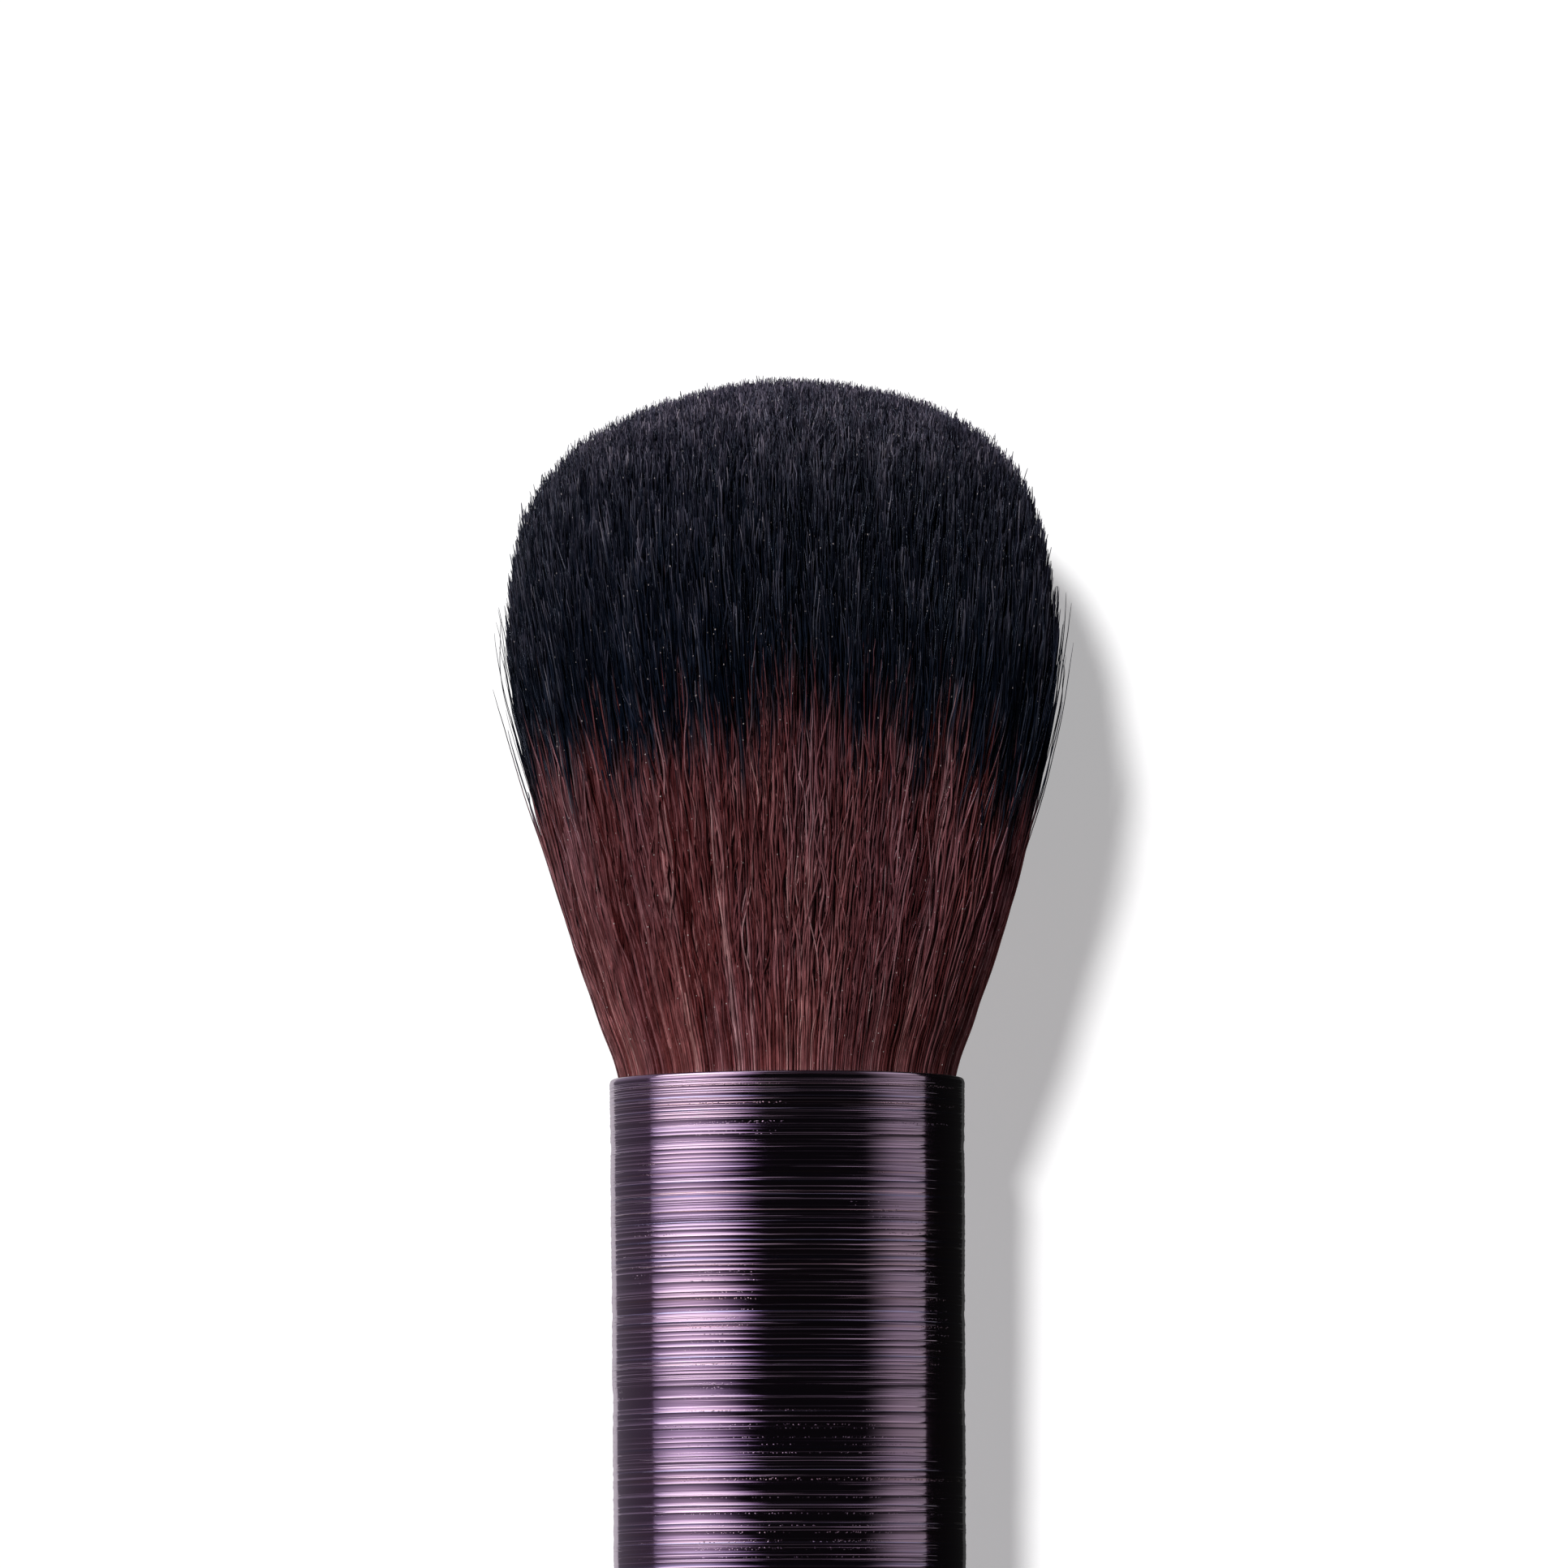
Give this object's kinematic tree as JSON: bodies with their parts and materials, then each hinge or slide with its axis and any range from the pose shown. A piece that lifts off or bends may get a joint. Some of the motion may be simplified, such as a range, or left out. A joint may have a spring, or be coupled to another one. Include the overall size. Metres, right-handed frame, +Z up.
{
  "type": "blush brush",
  "caption": "Round blush brush with a domed two-tone hair tuft in a tapered metal ferrule and tube handle with a flat butt, lying on its side.",
  "frame": {"origin": "on the table, under the middle of the brush's length and width", "axes": "+X along the brush towards the hair (the brush's own axis rises 2.3 degrees towards the hair), +Z up from the table"},
  "size_m": [0.1602, 0.0298, 0.0298],
  "materials": {
    "hair": "satin",
    "anodised_metal": "satin",
    "thread": "matte",
    "resin": "gloss",
    "core_plastic": "matte",
    "adhesive": "satin",
    "steel": "satin",
    "foam": "matte"
  },
  "bodies": {
    "root": {"bristle_tuft": "hair", "ferrule": "anodised_metal", "handle_sleeve": "anodised_metal", "end_cap": "anodised_metal", "binding_thread": "thread", "resin_plug": "resin", "handle_core": "core_plastic", "spigot_glue_upper": "adhesive", "spigot_glue_lower": "adhesive", "sleeve_glue_upper": "adhesive", "sleeve_glue_lower": "adhesive", "cap_glue": "adhesive", "weight_rod": "steel", "rod_stop": "foam"}
  },
  "joints": []
}
